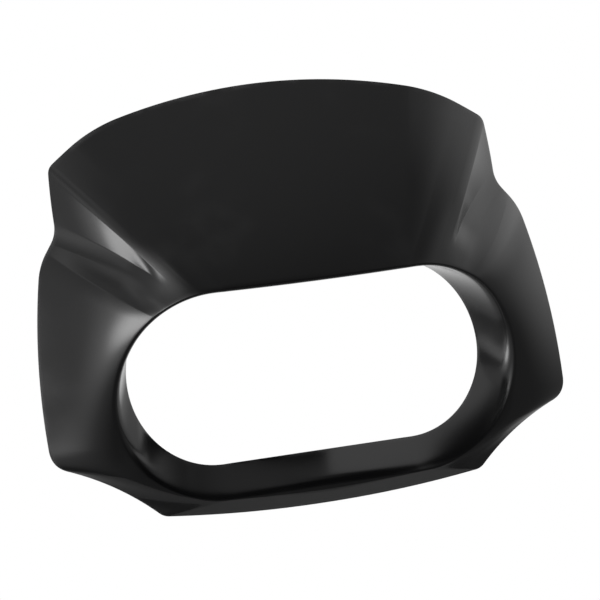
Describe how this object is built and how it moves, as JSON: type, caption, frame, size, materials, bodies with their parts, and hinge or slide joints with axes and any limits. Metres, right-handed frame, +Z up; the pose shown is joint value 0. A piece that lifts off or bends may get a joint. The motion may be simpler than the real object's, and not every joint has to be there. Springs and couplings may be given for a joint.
{
  "type": "headlight cowl",
  "caption": "One-piece black moulded motorbike headlight cowl: a wide round-ended lamp slot with a rolled rim and flange, a tall visor above, folded cheeks and a narrow lip.",
  "frame": {"origin": "where the lamp slot's axis crosses the flat back plane", "axes": "+Z up, +X across to the viewer's right, the slot faces -Y"},
  "size_m": [0.2992, 0.0845, 0.2219],
  "materials": {
    "black_plastic": "semi-gloss black moulding"
  },
  "bodies": {
    "root": {"cowl": "black_plastic"}
  },
  "joints": []
}
